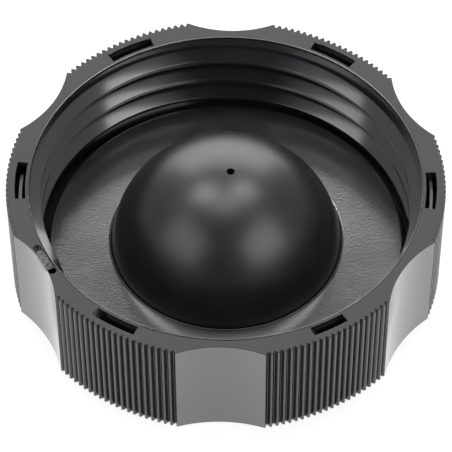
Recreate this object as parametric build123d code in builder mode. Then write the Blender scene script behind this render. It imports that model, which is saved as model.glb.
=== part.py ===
from build123d import *
from math import cos, radians, sin
import os

# Screw cap for the filler neck of a fluid tank, lying on its closed face with the mouth up.
# The axis of the cap is Z, the closed face is on z = 0 and the rim is on z = cap_height.
# One of the six finger flutes faces -Y.

# Grip: six finger flutes with a ribbed sector between each two, drafted towards the closed face
cap_height = 25.0
rim_tip_radius = 45.0
end_tip_radius = 44.1
rim_flute_radius = 42.2
end_flute_radius = 41.8
flute_count = 6
flute_step = 360 / flute_count
flute_half_angle = 11.5
first_flute = -90.0
first_sector = first_flute + flute_step / 2
rib_gaps = 21
rib_depth = 0.75
rib_tip_half_angle = 0.2
rib_valley_half_angle = 0.08

# Bore and rim
bore_radius = 40.1
mouth_chamfer = 0.35
web_thickness = 2.1
pocket_inner_radius = 41.0
pocket_outer_radius = 42.5
pocket_half_angle = 17.0
rim_turn = -0.65
window_outer_radius = 43.1
window_half_angle = 6.6
catch_height = 18.0

# Floor, seen from below and from inside
lid_thickness = 1.4
vent_space = 1.4
vent_space_radius = 38.0
floor_top = 5.2
lid_wall = 1.4
vent_notch_width = 2.0
vent_notch_depth = 0.7
vent_notch_turn = 13.0

# Thread: one right-handed ridge whose face to the mouth is hollow, steep at the wall and flatter
# from the knee on, and whose face to the floor is nearly square to the wall
thread_pitch = 5.8
thread_crest_radius = 37.9
thread_slope_height = 1.7
thread_knee_radius = 39.3
thread_knee_height = 1.15
thread_crest_width = 0.7
thread_root_width = 3.0
thread_root_bite = 0.15
thread_low_angle = -740.0
thread_high_angle = 238.5
thread_fade_offset = 12.0
thread_fade_radius = 28.3
thread_height_at_back = 21.96
back_angle = 90.0

# Gate scar on the rim, at the flute before the front one
gate_angle = first_flute - flute_step + rim_turn
gate_half_angle = 3.8
gate_depth = 0.2
gate_pit_turn = 4.6
gate_pit_radius = 0.75
gate_pit_depth = 0.9
gate_pit_centre = 41.6

# Flat seal ring on the floor
seal_inner_radius = 23.85
seal_outer_radius = 36.6
seal_thickness = 2.5
seal_edge = 0.5

# Vent hood: a hollow dome with a short straight foot, held by its flange under the seal ring
dome_radius = 23.75
dome_foot = 0.45
dome_wall = 1.8
flange_radius = 29.2
flange_thickness = 0.8
flange_gap = 0.2
pinhole_radius = 0.85
pinhole_offset = 1.0

# Umbrella valve in the floor, under the hood
valve_hole_radius = 1.7
valve_stem_radius = 1.65
valve_bulb_radius = 2.4
valve_bulb_height = 1.1
valve_lip_radius = 6.5
valve_lip_width = 0.9
valve_hollow = 0.5
valve_thickness = 1.4
breather_circle = 3.9
breather_radius = 0.9
breather_count = 4

# Lid: a lobed disc flush with the closed face, with six snap tongues that reach up the pockets
lid_gap = 0.1
lid_flute_gap = 0.45
lid_turn = 0.88
lid_edge = 0.3
tongue_inner_radius = 41.65
tongue_half_angle = 6.2
tongue_top = 22.7
nose_radius = 42.95
nose_half_angle = 4.8
nose_land = 0.6
nose_height = 2.6

floor_bottom = lid_thickness + vent_space
flange_seat = floor_top - flange_thickness
web_bottom = cap_height - web_thickness
lid_lobe_radius = pocket_outer_radius - lid_gap


def polar(radius, angle):
    """Point at a radius and an angle in degrees from +X."""
    return (radius * cos(radians(angle)), radius * sin(radians(angle)))


def radial_plane(angle, height=0.0):
    """Upright plane that holds the axis, with its X pointing outwards at an angle."""
    return Plane((0, 0, height), x_dir=(*polar(1, angle), 0), z_dir=(*polar(1, angle - 90), 0))


def flute_circle(tip_radius, flute_radius):
    """Distance of a flute's centre from the axis, and the radius of its arc."""
    corner = tip_radius * cos(radians(flute_half_angle))
    distance = (tip_radius**2 - flute_radius**2) / (2 * (corner - flute_radius))
    return distance, distance - flute_radius


def grip_outline(tip_radius, flute_radius):
    """Face bounded by the flutes and the ribs at one height of the grip."""
    rib_pitch = (flute_step - 2 * flute_half_angle) / rib_gaps
    valley_radius = tip_radius - rib_depth
    with BuildSketch() as outline:
        with BuildLine():
            for flute in range(flute_count):
                middle = first_flute + flute * flute_step
                sector_start = middle + flute_half_angle
                ThreePointArc(
                    polar(tip_radius, middle - flute_half_angle),
                    polar(flute_radius, middle),
                    polar(tip_radius, sector_start),
                )
                points = [polar(tip_radius, sector_start)]
                for gap in range(rib_gaps):
                    tip = sector_start + gap * rib_pitch
                    valley = tip + rib_pitch / 2
                    points.append(polar(tip_radius, tip + rib_tip_half_angle))
                    points.append(polar(valley_radius, valley - rib_valley_half_angle))
                    points.append(polar(valley_radius, valley + rib_valley_half_angle))
                    points.append(polar(tip_radius, tip + rib_pitch - rib_tip_half_angle))
                points.append(polar(tip_radius, sector_start + rib_gaps * rib_pitch))
                Polyline(points)
        make_face()
    return outline.sketch


def ring_sector(inner_radius, outer_radius, middle, half_angle):
    """Flat piece of a ring, centred on an angle."""
    start = middle - half_angle
    end = middle + half_angle
    with BuildSketch() as piece:
        with BuildLine():
            CenterArc((0, 0), inner_radius, start, 2 * half_angle)
            Line(polar(inner_radius, end), polar(outer_radius, end))
            CenterArc((0, 0), outer_radius, start, 2 * half_angle)
            Line(polar(outer_radius, start), polar(inner_radius, start))
        make_face()
    return piece.sketch


def ring_sectors(inner_radius, outer_radius, half_angle, turn):
    """One piece of a ring in the middle of each ribbed sector."""
    with BuildSketch() as pieces:
        for sector in range(flute_count):
            middle = first_sector + sector * flute_step + turn
            add(ring_sector(inner_radius, outer_radius, middle, half_angle))
    return pieces.sketch


def lobed_disc(lobe_radius, flute_wall):
    """Disc with six shallow hollows that run parallel to the flutes."""
    distance, arc_radius = flute_circle(end_tip_radius, end_flute_radius)
    with BuildSketch() as disc:
        Circle(lobe_radius)
        with PolarLocations(distance, flute_count, start_angle=first_flute):
            Circle(arc_radius + flute_wall, mode=Mode.SUBTRACT)
    return disc.sketch


def thread_height(angle):
    """Height of the ridge's upper root edge at an angle from +X."""
    return thread_height_at_back + thread_pitch * (angle - back_angle) / 360


# The ridge of the thread, swept along a helix that starts on +X and is turned into place later
thread_start = thread_height(thread_low_angle)
thread_rise = thread_height(thread_high_angle) - thread_start
with BuildPart() as thread_ridge:
    with BuildLine(Plane.XY.offset(thread_start)):
        Helix(pitch=thread_pitch, height=thread_rise, radius=bore_radius)
    with BuildSketch(radial_plane(0, thread_start)):
        with BuildLine():
            Polyline(
                (bore_radius + thread_root_bite, 0),
                (thread_knee_radius, -thread_knee_height),
                (thread_crest_radius, -thread_slope_height),
                (thread_crest_radius, -thread_slope_height - thread_crest_width),
                (bore_radius + thread_root_bite, -thread_root_width),
                close=True,
            )
        make_face()
    sweep(is_frenet=True)

    # Both ends fade into the wall, each cut by a round off the axis
    with BuildSketch(Plane.XY.offset(thread_start - thread_root_width - 1)):
        with Locations((thread_fade_offset, 0)):
            Circle(thread_fade_radius)
    extrude(amount=thread_root_width + 2.4, mode=Mode.SUBTRACT)
    with BuildSketch(Plane.XY.offset(thread_start + thread_rise - thread_root_width - 1.4)):
        with Locations(polar(thread_fade_offset, thread_high_angle - thread_low_angle)):
            Circle(thread_fade_radius)
    extrude(amount=thread_root_width + 2.4, mode=Mode.SUBTRACT)

# Cap body: fluted and ribbed grip, rim web, threaded bore and floor in one moulding
with BuildPart() as cap_body:
    with BuildSketch(Plane.XY):
        add(grip_outline(end_tip_radius, end_flute_radius))
    with BuildSketch(Plane.XY.offset(cap_height)):
        add(grip_outline(rim_tip_radius, rim_flute_radius))
    loft(ruled=True)

    # Bore down to the floor, with the seat of the hood's flange
    with BuildSketch(Plane.XZ):
        with BuildLine():
            Polyline(
                (0, flange_seat),
                (flange_radius + flange_gap, flange_seat),
                (flange_radius + flange_gap, floor_top),
                (bore_radius, floor_top),
                (bore_radius, cap_height - mouth_chamfer),
                (bore_radius + mouth_chamfer, cap_height),
                (bore_radius + mouth_chamfer, cap_height + 1),
                (0, cap_height + 1),
                close=True,
            )
        make_face()
    revolve(axis=Axis.Z, mode=Mode.SUBTRACT)

    # Recess for the lid and the shallow vent space above it
    with BuildSketch(Plane.XY):
        add(lobed_disc(pocket_outer_radius, lid_wall))
    extrude(amount=lid_thickness, mode=Mode.SUBTRACT)
    with BuildSketch(Plane.XY.offset(lid_thickness)):
        Circle(vent_space_radius)
    extrude(amount=vent_space, mode=Mode.SUBTRACT)

    # Pockets between the two walls, and the notches that let air into them
    with BuildSketch(Plane.XY.offset(lid_thickness)):
        add(ring_sectors(pocket_inner_radius, pocket_outer_radius, pocket_half_angle, rim_turn))
    extrude(amount=web_bottom - lid_thickness, mode=Mode.SUBTRACT)
    with BuildSketch(Plane.XY.offset(lid_thickness)):
        with PolarLocations(
            (vent_space_radius + pocket_inner_radius) / 2,
            flute_count,
            start_angle=first_sector + vent_notch_turn,
        ):
            Rectangle(pocket_inner_radius - vent_space_radius + 1, vent_notch_width)
    extrude(amount=vent_notch_depth, mode=Mode.SUBTRACT)

    # Windows through the rim, cut down to the catch ledges
    with BuildSketch(Plane.XY.offset(catch_height)):
        add(ring_sectors(pocket_inner_radius, window_outer_radius, window_half_angle, rim_turn))
    extrude(amount=cap_height - catch_height, mode=Mode.SUBTRACT)

    # Valve hole and breather holes through the floor
    with BuildSketch(Plane.XY.offset(floor_bottom)):
        Circle(valve_hole_radius)
        with PolarLocations(breather_circle, breather_count):
            Circle(breather_radius)
    extrude(amount=flange_seat - floor_bottom, mode=Mode.SUBTRACT)

    # Trimmed gate on the rim with a small pit at each end
    with BuildSketch(Plane.XY.offset(cap_height)):
        add(ring_sector(bore_radius + mouth_chamfer, rim_tip_radius, gate_angle, gate_half_angle))
    extrude(amount=-gate_depth, mode=Mode.SUBTRACT)
    with BuildSketch(Plane.XY.offset(cap_height)):
        for side in (-1, 1):
            with Locations(polar(gate_pit_centre, gate_angle + side * gate_pit_turn)):
                Circle(gate_pit_radius)
    extrude(amount=-gate_pit_depth, mode=Mode.SUBTRACT)

    add(thread_ridge.part, rotation=(0, 0, thread_low_angle))

# Seal ring with rounded edges
with BuildPart() as seal_ring:
    with BuildSketch(Plane.XY.offset(floor_top)):
        Circle(seal_outer_radius)
        Circle(seal_inner_radius, mode=Mode.SUBTRACT)
    extrude(amount=seal_thickness)
    fillet(seal_ring.edges().group_by(Axis.Z)[-1], radius=seal_edge)

# Hollow dome with its flange and the off-centre pinhole
dome_centre = floor_top + dome_foot
with BuildPart() as vent_hood:
    with BuildSketch(Plane.XZ):
        with BuildLine():
            Polyline(
                (dome_radius - dome_wall, dome_centre),
                (dome_radius - dome_wall, flange_seat),
                (flange_radius, flange_seat),
                (flange_radius, floor_top),
                (dome_radius, floor_top),
                (dome_radius, dome_centre),
            )
            CenterArc((0, dome_centre), dome_radius, 0, 90)
            Line((0, dome_centre + dome_radius), (0, dome_centre + dome_radius - dome_wall))
            CenterArc((0, dome_centre), dome_radius - dome_wall, 0, 90)
        make_face()
    revolve(axis=Axis.Z)
    with BuildSketch(Plane.XY.offset(dome_centre + dome_radius + 1)):
        with Locations((pinhole_offset, 0)):
            Circle(pinhole_radius)
    extrude(amount=-dome_wall - 2, mode=Mode.SUBTRACT)

# Umbrella valve: a soft disc whose lip lies on the floor round the breather holes
with BuildPart() as vent_valve:
    with BuildSketch(Plane.XZ):
        with BuildLine():
            Polyline(
                (0, floor_bottom - valve_bulb_height),
                (valve_stem_radius, floor_bottom - valve_bulb_height),
                (valve_bulb_radius, floor_bottom),
                (valve_stem_radius, floor_bottom),
                (valve_stem_radius, flange_seat + valve_hollow),
                (valve_lip_radius - valve_lip_width, flange_seat),
                (valve_lip_radius, flange_seat),
                (0, flange_seat + valve_thickness),
                close=True,
            )
        make_face()
    revolve(axis=Axis.Z)

# Lid with its snap tongues; it lies turned a little in the play that the recess leaves
with BuildPart() as snap_lid:
    with BuildSketch(Plane.XY.rotated((0, 0, lid_turn))):
        add(lobed_disc(lid_lobe_radius, lid_wall + lid_flute_gap))
    extrude(amount=lid_thickness)
    chamfer(snap_lid.edges().group_by(Axis.Z)[0], length=lid_edge)
    with BuildSketch(Plane.XY.offset(lid_thickness)):
        add(ring_sectors(tongue_inner_radius, lid_lobe_radius, tongue_half_angle, lid_turn))
    extrude(amount=tongue_top - lid_thickness)

    # Catch noses that rest on the ledges below the windows
    for sector in range(flute_count):
        middle = first_sector + sector * flute_step + lid_turn
        with BuildSketch(radial_plane(middle - nose_half_angle)):
            with BuildLine():
                Polyline(
                    (tongue_inner_radius + 0.3, catch_height),
                    (nose_radius, catch_height),
                    (nose_radius, catch_height + nose_land),
                    (lid_lobe_radius, catch_height + nose_height),
                    (tongue_inner_radius + 0.3, catch_height + nose_height),
                    close=True,
                )
            make_face()
        revolve(axis=Axis.Z, revolution_arc=2 * nose_half_angle)

pieces = {
    "cap_body": cap_body,
    "seal_ring": seal_ring,
    "vent_hood": vent_hood,
    "vent_valve": vent_valve,
    "snap_lid": snap_lid,
}
os.makedirs("parts", exist_ok=True)
for name, piece in pieces.items():
    piece.part.label = name
    export_step(piece.part, f"parts/{name}.step")
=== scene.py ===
import bmesh
import bpy
from math import atan, cos, pi, radians, sin
from mathutils import Matrix, Vector, noise


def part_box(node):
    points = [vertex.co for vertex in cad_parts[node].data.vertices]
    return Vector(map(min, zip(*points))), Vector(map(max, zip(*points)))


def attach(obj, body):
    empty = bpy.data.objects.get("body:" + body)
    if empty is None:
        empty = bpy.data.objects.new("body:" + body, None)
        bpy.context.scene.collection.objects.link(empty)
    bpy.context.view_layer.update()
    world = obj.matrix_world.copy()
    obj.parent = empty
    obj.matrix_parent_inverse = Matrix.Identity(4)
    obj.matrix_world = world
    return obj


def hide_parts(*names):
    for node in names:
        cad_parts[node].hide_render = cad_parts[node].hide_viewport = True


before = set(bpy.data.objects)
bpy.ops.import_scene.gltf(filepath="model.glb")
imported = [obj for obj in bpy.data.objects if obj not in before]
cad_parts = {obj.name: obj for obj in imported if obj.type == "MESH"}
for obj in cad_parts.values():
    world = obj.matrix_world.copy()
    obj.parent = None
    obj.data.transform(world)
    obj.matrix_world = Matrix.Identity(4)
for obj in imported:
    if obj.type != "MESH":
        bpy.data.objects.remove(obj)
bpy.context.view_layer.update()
MM = 0.001

# Places on the cap, in the frame of the CAD: axis on Z, closed face on z = 0, one flute towards -Y
RIM_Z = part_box("cap_body")[1][2]
BORE_RADIUS = 40.1 * MM
BORE_CHAMFER = 0.35 * MM
# The ribs of the grip lie outside GRIP_RADIUS, with tips that lean in towards the closed face
GRIP_RADIUS = 43.2 * MM
END_TIP_RADIUS = 44.1 * MM
RIM_TIP_RADIUS = 45.0 * MM
FLUTE_HALF_ANGLE = 11.55
# Knee in the mouth side of the thread's ridge, and how far it is lifted to make that side straight
KNEE_RADIUS = 39.3 * MM
KNEE_LIFT = 0.46 * MM


def polar(radius, angle, height=0.0):
    """Point at a radius and an angle in degrees from +X."""
    return Vector((radius * cos(radians(angle)), radius * sin(radians(angle)), height))


def direction(azimuth, elevation):
    """Unit vector from the object towards an azimuth and an elevation in degrees."""
    flat = cos(radians(elevation))
    return Vector((flat * cos(radians(azimuth)), flat * sin(radians(azimuth)), sin(radians(elevation))))


# Camera: the photograph's long-lens view over the front flute into the mouth, in degrees, metres and pixels
IMAGE_SIZE = 452
SENSOR_WIDTH = 36.0
FOCAL_PIXELS = 6012.5
VIEW_AZIMUTH = -88.428
VIEW_ELEVATION = 49.922
VIEW_DISTANCE = 1.2278
RIM_CENTRE_PIXEL = (225.744, 185.202)
VIEW_ROLL = radians(0.289)


def add_camera():
    """Looks at the middle of the rim, rolled and pitched until that point falls on its pixel."""
    data = bpy.data.cameras.new("camera")
    data.sensor_width = SENSOR_WIDTH
    data.lens = FOCAL_PIXELS * SENSOR_WIDTH / IMAGE_SIZE
    camera = bpy.data.objects.new("camera", data)
    bpy.context.scene.collection.objects.link(camera)
    target = Vector((0, 0, RIM_Z))
    towards = direction(VIEW_AZIMUTH, VIEW_ELEVATION)
    forward = -towards
    right = forward.cross(Vector((0, 0, 1))).normalized()
    up = right.cross(forward)
    right, up = (
        cos(VIEW_ROLL) * right - sin(VIEW_ROLL) * up,
        sin(VIEW_ROLL) * right + cos(VIEW_ROLL) * up,
    )
    pitch = atan((IMAGE_SIZE / 2 - RIM_CENTRE_PIXEL[1]) / FOCAL_PIXELS)
    yaw = atan((IMAGE_SIZE / 2 - RIM_CENTRE_PIXEL[0]) / FOCAL_PIXELS)
    axes = Matrix((right, up, -forward)).transposed()
    axes = axes @ Matrix.Rotation(-pitch, 3, "X") @ Matrix.Rotation(-yaw, 3, "Y")
    camera.matrix_world = Matrix.Translation(target + VIEW_DISTANCE * towards) @ axes.to_4x4()
    bpy.context.scene.camera = camera


add_camera()


# Materials
class Nodes:
    """Short way to add and link shader nodes."""

    def __init__(self, tree):
        self.tree = tree
        tree.nodes.clear()

    def add(self, kind, inputs=(), **settings):
        """Node with its settings, and with a value or a link for each input named or numbered."""
        node = self.tree.nodes.new(kind)
        for key, value in settings.items():
            setattr(node, key, value)
        for key, value in dict(inputs).items():
            if isinstance(value, bpy.types.NodeSocket):
                self.tree.links.new(value, node.inputs[key])
            else:
                node.inputs[key].default_value = value
        return node

    def math(self, operation, *values):
        return self.add("ShaderNodeMath", enumerate(values), operation=operation).outputs[0]

    def noise(self, vector, scale, detail=3.0, roughness=0.55):
        node = self.add(
            "ShaderNodeTexNoise",
            {"Vector": vector, "Scale": scale, "Detail": detail, "Roughness": roughness},
        )
        return node.outputs["Fac"]

    def spread(self, value, low, high, to_low, to_high, smooth=False):
        """Value moved from one range to another and kept inside it."""
        node = self.add(
            "ShaderNodeMapRange",
            {"Value": value, "From Min": low, "From Max": high, "To Min": to_low, "To Max": to_high},
            interpolation_type="SMOOTHSTEP" if smooth else "LINEAR",
        )
        return node.outputs["Result"]

    def ramp(self, value, first, second):
        """Colour between two colours, by a value from 0 to 1."""
        ends = {"Factor": value, 6: (*first, 1), 7: (*second, 1)}
        return self.add("ShaderNodeMix", ends, data_type="RGBA").outputs[2]

    def blend(self, value, first, second):
        """Number between two numbers or sockets, by a value from 0 to 1."""
        node = self.add("ShaderNodeMix", {"Factor": value, 2: first, 3: second}, data_type="FLOAT")
        return node.outputs[0]

    def bump(self, height, strength, distance):
        node = self.add("ShaderNodeBump", {"Height": height, "Strength": strength, "Distance": distance})
        return node.outputs["Normal"]

    def finish(self, colour, roughness, normal, coat, coat_roughness, coat_ior=1.6, level=0.5):
        """Dielectric surface with its coat, as the material's output."""
        shader = self.add(
            "ShaderNodeBsdfPrincipled",
            {
                "Base Color": colour,
                "Roughness": roughness,
                "IOR": 1.5,
                "Specular IOR Level": level,
                "Coat Weight": coat,
                "Coat Roughness": coat_roughness,
                "Coat IOR": coat_ior,
                "Normal": normal,
                "Coat Normal": normal,
            },
        )
        self.add("ShaderNodeOutputMaterial", {"Surface": shader.outputs[0]})


def new_material(name):
    material = bpy.data.materials.new(name)
    material.use_nodes = True
    return material, Nodes(material.node_tree)


# Faint flow clouds, with the values of their noise between which they go from dark to pale, and fine grain
CLOUD_SCALE = 140.0
CLOUD_RANGE = (0.3, 0.7)
GRAIN_SCALE = 1800.0
GRAIN_DEPTH = 0.04 * MM


def plastic(name, dark, pale, roughness, spread, grain=0.1, under=0.0, coat=1.0, **finish):
    """Moulded black plastic or rubber, by the value of under rougher than the coat that lies on it."""
    material, nodes = new_material(name)
    place = nodes.add("ShaderNodeTexCoord").outputs["Object"]
    clouds = nodes.noise(place, CLOUD_SCALE)
    fine = nodes.noise(place, GRAIN_SCALE, 2.0)
    colour = nodes.ramp(nodes.spread(clouds, *CLOUD_RANGE, 0.0, 1.0), dark, pale)
    base = roughness + under
    rough = nodes.spread(clouds, *CLOUD_RANGE, base - spread, base + spread)
    nodes.finish(colour, rough, nodes.bump(fine, grain, GRAIN_DEPTH), coat, roughness, **finish)
    return material


# Finish of the body by place
BODY_DARK = (0.008, 0.008, 0.0102)
BODY_PALE = (0.012, 0.012, 0.015)
BORE_ROUGHNESS = 0.12
RIM_ROUGHNESS = 0.5
GRIP_ROUGHNESS = 0.27
BORE_COAT = 0.55
RIM_COAT = 0.06
FLUTE_COAT = 0.75
RIB_TIP_COAT = 0.25
BODY_COAT_ROUGHNESS = 0.14
BODY_COAT_IOR = 2.0
BODY_CLOUD_SCALE = 110.0
PIT_SCALE = 1500.0
PIT_DEPTH = 0.06 * MM
PIT_STRENGTH = 0.15
PIT_SHARE_OFF_RIM = 0.05


def distance_from_axis(nodes, axes):
    """Radius of a place on the cap, from its separated coordinates."""
    across = nodes.math("MULTIPLY", axes.outputs["X"], axes.outputs["X"])
    along = nodes.math("MULTIPLY", axes.outputs["Y"], axes.outputs["Y"])
    return nodes.math("SQRT", nodes.math("ADD", across, along))


def body_plastic():
    """Black polypropylene: polished in the bore, satin on the grip, dull and finely pitted on the rim."""
    material, nodes = new_material("body_plastic")
    place = nodes.add("ShaderNodeTexCoord").outputs["Object"]
    axes = nodes.add("ShaderNodeSeparateXYZ", {"Vector": place})
    radius = distance_from_axis(nodes, axes)
    height = axes.outputs["Z"]
    bore = nodes.spread(radius, BORE_RADIUS - 0.02 * MM, BORE_RADIUS + 0.1 * MM, 1.0, 0.0)
    top = nodes.spread(height, RIM_Z - 0.25 * MM, RIM_Z - 0.05 * MM, 0.0, 1.0)
    outside = nodes.spread(radius, BORE_RADIUS + 0.3 * MM, BORE_RADIUS + 0.4 * MM, 0.0, 1.0)
    rim = nodes.math("MULTIPLY", top, outside)
    clouds = nodes.noise(place, BODY_CLOUD_SCALE)
    fine = nodes.noise(place, PIT_SCALE, 2.0)
    colour = nodes.ramp(nodes.spread(clouds, *CLOUD_RANGE, 0.0, 1.0), BODY_DARK, BODY_PALE)
    rough = nodes.blend(bore, nodes.blend(rim, GRIP_ROUGHNESS, RIM_ROUGHNESS), BORE_ROUGHNESS)
    rough = nodes.math("ADD", rough, nodes.spread(clouds, *CLOUD_RANGE, -0.02, 0.02))
    pits = nodes.math("MULTIPLY", fine, nodes.blend(rim, PIT_SHARE_OFF_RIM, 1.0))
    # Coat: whole in the flutes, thinner on the tips of the ribs, and none in the grooves between them
    turn = nodes.math("ADD", nodes.math("ARCTAN2", axes.outputs["Y"], axes.outputs["X"]), radians(90))
    ribs = nodes.math("GREATER_THAN", nodes.math("PINGPONG", turn, radians(30)), radians(FLUTE_HALF_ANGLE))
    grip = nodes.math("GREATER_THAN", radius, GRIP_RADIUS)
    tips = nodes.spread(height, 0.0, RIM_Z, END_TIP_RADIUS, RIM_TIP_RADIUS)
    depth = nodes.math("SUBTRACT", tips, radius)
    groove_coat = nodes.spread(depth, 0.05 * MM, 0.4 * MM, RIB_TIP_COAT, 0.0)
    coat = nodes.blend(nodes.math("MULTIPLY", ribs, grip), FLUTE_COAT, groove_coat)
    coat = nodes.blend(bore, nodes.blend(rim, coat, RIM_COAT), BORE_COAT)
    normal = nodes.bump(pits, PIT_STRENGTH, PIT_DEPTH)
    nodes.finish(colour, rough, normal, coat, BODY_COAT_ROUGHNESS, coat_ior=BODY_COAT_IOR)
    return material


def seal_rubber():
    """Dense black rubber with a skin that mirrors more than the plastic does."""
    dark = (0.003, 0.003, 0.0026)
    pale = (0.005, 0.0048, 0.0042)
    return plastic("seal_rubber", dark, pale, 0.21, 0.04, grain=0.4, coat_ior=2.5, level=1.0)


def hood_plastic():
    """Duller plastic of the dome, with little coat."""
    dark = (0.006, 0.006, 0.0065)
    pale = (0.010, 0.010, 0.011)
    return plastic("hood_plastic", dark, pale, 0.32, 0.02, grain=0.2, under=0.04, coat=0.2)


MATERIALS = {
    "body_plastic": body_plastic(),
    "lid_plastic": plastic("lid_plastic", (0.008, 0.008, 0.009), (0.012, 0.012, 0.013), 0.35, 0.03),
    "seal_rubber": seal_rubber(),
    "hood_plastic": hood_plastic(),
    "valve_rubber": plastic("valve_rubber", (0.020, 0.019, 0.019), (0.030, 0.029, 0.028), 0.6, 0.05),
    "torn_plastic": plastic("torn_plastic", (0.012, 0.012, 0.013), (0.10, 0.10, 0.105), 0.45, 0.1, grain=1.0),
}


def dress(node, slot):
    """Gives a CAD node its finish."""
    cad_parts[node].material_slots[0].material = MATERIALS[slot]


dress("cap_body", "body_plastic")
dress("snap_lid", "lid_plastic")
dress("seal_ring", "seal_rubber")
dress("vent_hood", "hood_plastic")
dress("vent_valve", "valve_rubber")


# Pieces: outer edges sharper than EDGE_ANGLE are rounded, and inner ones sharper than CREASE_ANGLE stay sharp
WELD = 0.0002 * MM
FLAT_ANGLE = radians(0.5)
EDGE_ANGLE = radians(22)
CREASE_ANGLE = radians(35)
ROUND_STEPS = 2
BODY_ROUND = 0.12 * MM
LID_ROUND = 0.1 * MM
MOUTH_ROUND = 0.4 * MM
MATCH_MARGIN = 0.02 * MM
THREAD_LOW = 7 * MM


def add_piece(name, mesh, slot, finish=None):
    """Puts a mesh in the scene as a piece of the cap's one body."""
    piece = bpy.data.objects.new(name, mesh)
    bpy.context.scene.collection.objects.link(piece)
    mesh.materials.append(MATERIALS[finish or slot])
    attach(piece, "root")
    return piece


def on_mouth(edge):
    """Whether an edge is the one between the rim and the chamfer of the bore."""
    return all(
        abs(corner.co.z - RIM_Z) < MATCH_MARGIN
        and abs(corner.co.to_2d().length - BORE_RADIUS - BORE_CHAMFER) < MATCH_MARGIN
        for corner in edge.verts
    )


def straighten_ridge(work):
    """Lifts the knee of the thread's ridge until the mouth side of the ridge is straight."""
    for corner in work.verts:
        if abs(corner.co.to_2d().length - KNEE_RADIUS) < MATCH_MARGIN and corner.co.z > THREAD_LOW:
            corner.co.z += KNEE_LIFT


def add_rounded(node, slot, width):
    """Stands in for a CAD node, with the small round that a mould leaves along each outer edge."""
    work = bmesh.new()
    work.from_mesh(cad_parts[node].data)
    bmesh.ops.remove_doubles(work, verts=work.verts, dist=WELD)
    bmesh.ops.dissolve_degenerate(work, edges=work.edges, dist=WELD / 2)
    bmesh.ops.dissolve_limit(
        work, angle_limit=FLAT_ANGLE, verts=work.verts, edges=work.edges, delimit={"NORMAL"}
    )
    if node == "cap_body":
        straighten_ridge(work)
    for face in work.faces:
        face.smooth = True
        face.material_index = 0
    weight = work.edges.layers.float.new("bevel_weight_edge")
    for edge in work.edges:
        turn = edge.calc_face_angle_signed()
        if turn > EDGE_ANGLE:
            edge[weight] = 1.0 if on_mouth(edge) else width / MOUTH_ROUND
        elif turn < -CREASE_ANGLE:
            edge.smooth = False
    mesh = bpy.data.meshes.new(node + "_rounded")
    work.to_mesh(mesh)
    work.free()
    mesh.attributes.remove(mesh.attributes["custom_normal"])
    piece = add_piece(node + "_rounded", mesh, slot)
    bevel = piece.modifiers.new("edges", "BEVEL")
    bevel.width = MOUTH_ROUND
    bevel.segments = ROUND_STEPS
    bevel.limit_method = "WEIGHT"
    bevel.harden_normals = True
    bevel.use_clamp_overlap = False
    bevel.miter_outer = "MITER_SHARP"
    triangles = piece.modifiers.new("triangles", "TRIANGULATE")
    triangles.keep_custom_normals = True
    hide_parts(node)


add_rounded("cap_body", "body_plastic", BODY_ROUND)
add_rounded("snap_lid", "lid_plastic", LID_ROUND)

# Flash: its section in mm from the bore wall at rim level, and the angles of its burrs
FLASH_SECTION = (
    (0.12, -0.3), (0.1, -0.12), (0.14, 0.02), (0.22, 0.07), (0.31, 0.05), (0.38, -0.08), (0.3, -0.25),
)
FLASH_STEPS = 720
FLASH_WAVE = 0.35
LEAST_FLASH = 0.3
BURRS = (-173.2, -170.0, -166.7, -112.0, -109.6, 118.0, -4.5, -7.2)
BURR_SWELL = 2.2
BURR_HALF_ANGLE = radians(0.9)


def add_flash():
    """Bead of flash that the mould's split leaves round the mouth, uneven in height, with a few burrs."""
    work = bmesh.new()
    rings = []
    for step in range(FLASH_STEPS):
        angle = 360 * step / FLASH_STEPS
        spot = polar(1, angle)
        swell = 1 + FLASH_WAVE * noise.noise(spot * 9)
        swell += FLASH_WAVE * noise.noise(spot * 37 + Vector((3, 1, 2)))
        nearest = min(spot.angle(polar(1, burr)) for burr in BURRS)
        swell += BURR_SWELL * max(0, 1 - nearest / BURR_HALF_ANGLE)
        ring = []
        for out, rise in FLASH_SECTION:
            lift = rise * MM * (max(swell, LEAST_FLASH) if rise > 0 else 1)
            ring.append(work.verts.new(polar(BORE_RADIUS + out * MM, angle, RIM_Z + lift)))
        rings.append(ring)
    count = len(FLASH_SECTION)
    for step, ring in enumerate(rings):
        following = rings[(step + 1) % FLASH_STEPS]
        for index in range(count):
            after = (index + 1) % count
            face = work.faces.new((ring[index], ring[after], following[after], following[index]))
            face.smooth = True
    bmesh.ops.recalc_face_normals(work, faces=work.faces)
    mesh = bpy.data.meshes.new("rim_flash")
    work.to_mesh(mesh)
    work.free()
    add_piece("rim_flash", mesh, "body_plastic")


add_flash()


def add_solid(name, corners, faces, slot, finish=None):
    """Makes a closed piece from its corners and faces."""
    work = bmesh.new()
    verts = [work.verts.new(corner) for corner in corners]
    for face in faces:
        work.faces.new([verts[index] for index in face])
    bmesh.ops.recalc_face_normals(work, faces=work.faces)
    mesh = bpy.data.meshes.new(name)
    work.to_mesh(mesh)
    work.free()
    return add_piece(name, mesh, slot, finish)


# Inner edge of the seal, which closes the gap to the hood and has taken on the hood's dull finish
LIP_RADIUS = 23.97 * MM
LIP_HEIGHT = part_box("seal_ring")[1][2] - 0.12 * MM
LIP_THICKNESS = 0.24 * MM
LIP_STEPS = 240
LIP_SIDES = 10


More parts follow.
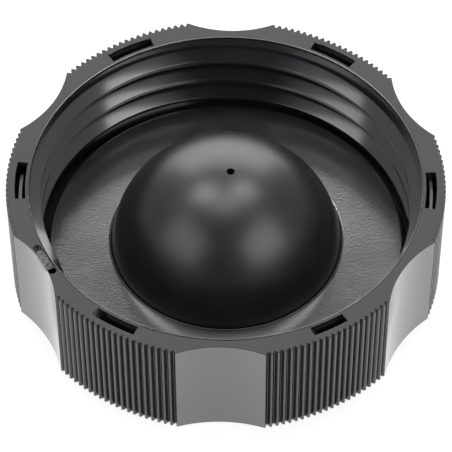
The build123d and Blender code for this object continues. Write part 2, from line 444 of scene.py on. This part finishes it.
def add_seal_lip():
    """Bead along the inner edge of the seal."""
    corners = []
    faces = []
    for step in range(LIP_STEPS):
        for side in range(LIP_SIDES):
            turn = 2 * pi * side / LIP_SIDES
            radius = LIP_RADIUS + LIP_THICKNESS * cos(turn)
            corners.append(polar(radius, 360 * step / LIP_STEPS, LIP_HEIGHT + LIP_THICKNESS * sin(turn)))
            after = (side + 1) % LIP_SIDES
            following = (step + 1) % LIP_STEPS * LIP_SIDES
            start = step * LIP_SIDES
            faces.append((start + side, start + after, following + after, following + side))
    lip = add_solid("seal_lip", corners, faces, "seal_rubber", "hood_plastic")
    lip.data.shade_smooth()


add_seal_lip()

# Gate scar: the torn patch of the rim between the two pits
GATE_ANGLE = -150.65
GATE_HALF_ANGLE = 3.7
GATE_INNER_RADIUS = 40.75 * MM
GATE_OUTER_RADIUS = 42.3 * MM
GATE_FOOT = 1.1 * MM
GATE_ACROSS = 16
GATE_ALONG = 44
# Heights of the torn skin in mm: how far it lies below the rim, its lumps, and the drop at its ends and edge
GATE_SINK = 0.12
BROAD_LUMPS = 0.25
SMALL_LUMPS = 0.2
END_DROP = 0.12
EDGE_DROP = 0.45
EDGE_LUMPS = 0.5
EDGE_OVERHANG = 0.06 * MM


def add_gate_scar():
    """Ragged skin over the cut-off gate, which breaks over the edge of the flute."""
    corners = []
    for along in range(GATE_ALONG + 1):
        share = 2 * along / GATE_ALONG - 1
        angle = GATE_ANGLE + GATE_HALF_ANGLE * share
        for across in range(GATE_ACROSS + 1):
            part = across / GATE_ACROSS
            radius = GATE_INNER_RADIUS + part * (GATE_OUTER_RADIUS - GATE_INNER_RADIUS)
            spot = polar(radius / MM, angle)
            lump = BROAD_LUMPS * noise.noise(1.7 * spot)
            lump += SMALL_LUMPS * noise.noise(4.5 * spot + Vector((5, 0, 1)))
            lift = -GATE_SINK + lump - END_DROP * share**6
            if across == GATE_ACROSS:
                lift -= EDGE_DROP + EDGE_LUMPS * noise.noise(2 * spot + Vector((0, 7, 0)))
                radius += EDGE_OVERHANG
            corners.append(polar(radius, angle, RIM_Z + lift * MM))
    row = GATE_ACROSS + 1
    foot = len(corners)
    corners += [Vector((corner.x, corner.y, RIM_Z - GATE_FOOT)) for corner in corners]
    faces = []
    for along in range(GATE_ALONG):
        for across in range(GATE_ACROSS):
            first = along * row + across
            loop = (first, first + 1, first + row + 1, first + row)
            faces.append(loop)
            faces.append(tuple(index + foot for index in reversed(loop)))
    edge = list(range(GATE_ACROSS))
    edge += [along * row + GATE_ACROSS for along in range(GATE_ALONG)]
    edge += [GATE_ALONG * row + across for across in range(GATE_ACROSS, 0, -1)]
    edge += [along * row for along in range(GATE_ALONG, 0, -1)]
    for index, first in enumerate(edge):
        second = edge[(index + 1) % len(edge)]
        faces.append((first, second, second + foot, first + foot))
    add_solid("gate_scar", corners, faces, "body_plastic", "torn_plastic")


add_gate_scar()

# Windows partly closed by plastic: the angles where the filler starts, where its flush part ends and where
# its slope ends, and how far the slope drops in mm
WINDOW_INNER_RADIUS = 40.9 * MM
WINDOW_OUTER_RADIUS = 43.2 * MM
FILLER_SINK = 0.02
FILLER_DEPTH = 3 * MM
WINDOW_FILLERS = {
    "window_filler_right": (-67.5, -64.3, -62.1, 2.2),
    "window_filler_left": (-127.5, -127.2, -125.7, 1.6),
}


def add_window_filler(name, start, flush, end, drop):
    """Tongue of plastic in a window, level with the rim at first and then sloping down."""
    corners = []
    for angle, depth in ((start, FILLER_SINK), (flush, FILLER_SINK), (end, drop)):
        for height in (RIM_Z - depth * MM, RIM_Z - FILLER_DEPTH):
            for radius in (WINDOW_INNER_RADIUS, WINDOW_OUTER_RADIUS):
                corners.append(polar(radius, angle, height))
    faces = [(0, 1, 5, 4), (4, 5, 9, 8), (2, 3, 7, 6), (6, 7, 11, 10), (0, 1, 3, 2), (8, 9, 11, 10)]
    faces += [(0, 4, 6, 2), (4, 8, 10, 6), (1, 5, 7, 3), (5, 9, 11, 7)]
    add_solid(name, corners, faces, "body_plastic")


for filler, places in WINDOW_FILLERS.items():
    add_window_filler(filler, *places)


# Studio, in metres: pale floor under a graded light tent, darker on the camera's side, with soft lamps in it
FLOOR_SIZE = 6.0
FLOOR_DROP = 0.02 * MM
# What the camera sees of the floor is part glow and part shadow-catching white, and mirrors see full white
FLOOR_GLOW = 0.8
MIRRORED_GLOW = 1.0
SHADOW_WHITE = (0.3, 0.3, 0.3, 1)
FLOOR_WHITE = (0.8, 0.8, 0.8, 1)
WORLD_COLOUR = (0.98, 0.99, 1.0, 1.0)
LAMP_COLOUR = (1.0, 0.99, 0.97)
# Azimuth and elevation in degrees, width and height in metres, and brightness of each soft box
LAMPS = {
    "lamp_back": (92, 32, 0.8, 0.36, 3.6),
    "lamp_horizon": (92, 10, 0.9, 0.22, 2.0),
    "lamp_back_right": (50, 66, 0.22, 0.22, 8.0),
    "lamp_back_left": (142, 66, 0.22, 0.22, 8.5),
    "lamp_top": (90, 87, 0.24, 0.24, 4.5),
    "lamp_front_right": (-36, 41, 0.5, 0.38, 3.1),
    "lamp_front_left": (-146, 40, 0.5, 0.38, 2.0),
}
LAMP_DISTANCE = 0.7
TENT_RADIUS = 1.1
# Brightness of the tent near the floor, overhead and at the sides, and the share of it left in front
TENT_LOW = 0.7
TENT_HIGH = 0.04
TENT_SIDE = 0.45
TENT_FRONT = 0.35
# Parts of the unit sphere over which each of these fades: in height, towards the front and to the sides
HEIGHT_FADE = (0.05, 0.7)
FRONT_FADE = (-0.7, -0.2)
SIDE_FADE = (0.2, 0.5)


def add_floor():
    """Pale floor that the camera and reflections see as white, and that keeps the cap's shadow."""
    mesh = bpy.data.meshes.new("floor")
    half = FLOOR_SIZE / 2
    corners = [(-half, -half, 0), (half, -half, 0), (half, half, 0), (-half, half, 0)]
    mesh.from_pydata(corners, [], [(0, 1, 2, 3)])
    floor = bpy.data.objects.new("floor", mesh)
    bpy.context.scene.collection.objects.link(floor)
    floor.location.z = -FLOOR_DROP
    material, nodes = new_material("floor_white")
    path = nodes.add("ShaderNodeLightPath")
    mirrored = nodes.math("MAXIMUM", path.outputs["Is Glossy Ray"], path.outputs["Is Transmission Ray"])
    seen = nodes.math("MAXIMUM", path.outputs["Is Camera Ray"], mirrored)
    plain = nodes.add("ShaderNodeBsdfDiffuse", {"Color": FLOOR_WHITE})
    shade = nodes.add("ShaderNodeBsdfDiffuse", {"Color": SHADOW_WHITE})
    level = nodes.spread(mirrored, 0.0, 1.0, FLOOR_GLOW, MIRRORED_GLOW)
    glow = nodes.add("ShaderNodeEmission", {"Color": (1, 1, 1, 1), "Strength": level})
    both = nodes.add("ShaderNodeAddShader")
    nodes.tree.links.new(shade.outputs[0], both.inputs[0])
    nodes.tree.links.new(glow.outputs[0], both.inputs[1])
    mixed = nodes.add("ShaderNodeMixShader", {"Fac": seen})
    nodes.tree.links.new(plain.outputs[0], mixed.inputs[1])
    nodes.tree.links.new(both.outputs[0], mixed.inputs[2])
    nodes.add("ShaderNodeOutputMaterial", {"Surface": mixed.outputs[0]})
    mesh.materials.append(material)


def add_tent():
    """Half sphere of glowing cloth round the cap, which the camera itself doesn't see."""
    work = bmesh.new()
    bmesh.ops.create_uvsphere(work, u_segments=32, v_segments=16, radius=TENT_RADIUS)
    below = [corner for corner in work.verts if corner.co.z < -10 * MM]
    bmesh.ops.delete(work, geom=below, context="VERTS")
    mesh = bpy.data.meshes.new("tent")
    work.to_mesh(mesh)
    work.free()
    tent = bpy.data.objects.new("tent", mesh)
    bpy.context.scene.collection.objects.link(tent)
    material, nodes = new_material("tent_cloth")
    place = nodes.add("ShaderNodeTexCoord").outputs["Object"]
    outward = nodes.add("ShaderNodeVectorMath", {0: place}, operation="NORMALIZE").outputs["Vector"]
    axes = nodes.add("ShaderNodeSeparateXYZ", {"Vector": outward})
    upright = nodes.spread(axes.outputs["Z"], *HEIGHT_FADE, TENT_LOW, TENT_HIGH)
    front = nodes.spread(axes.outputs["Y"], *FRONT_FADE, TENT_FRONT, 1.0, smooth=True)
    sideways = nodes.math("ABSOLUTE", axes.outputs["X"])
    side = nodes.spread(sideways, *SIDE_FADE, 0.0, TENT_SIDE, smooth=True)
    level = nodes.math("MAXIMUM", nodes.math("MULTIPLY", upright, front), side)
    glow = nodes.add("ShaderNodeEmission", {"Color": WORLD_COLOUR, "Strength": level})
    nodes.add("ShaderNodeOutputMaterial", {"Surface": glow.outputs[0]})
    mesh.materials.append(material)
    tent.visible_camera = False


def add_lamps():
    """Soft boxes that face the cap."""
    for name, (azimuth, elevation, width, height, level) in LAMPS.items():
        data = bpy.data.lights.new(name, "AREA")
        data.shape = "RECTANGLE"
        data.size = width
        data.size_y = height
        data.energy = level * pi * width * height
        data.color = LAMP_COLOUR
        lamp = bpy.data.objects.new(name, data)
        bpy.context.scene.collection.objects.link(lamp)
        towards = direction(azimuth, elevation)
        lamp.location = LAMP_DISTANCE * towards
        lamp.rotation_euler = towards.to_track_quat("Z", "Y").to_euler()
        lamp.visible_camera = False


def set_world():
    """Plain white behind the tent."""
    world = bpy.data.worlds.new("studio")
    world.use_nodes = True
    nodes = Nodes(world.node_tree)
    light = nodes.add("ShaderNodeBackground", {"Color": WORLD_COLOUR, "Strength": 1.0})
    nodes.add("ShaderNodeOutputWorld", {"Surface": light.outputs[0]})
    bpy.context.scene.world = world


add_floor()
add_tent()
add_lamps()
set_world()
bpy.context.scene.view_settings.view_transform = "Standard"
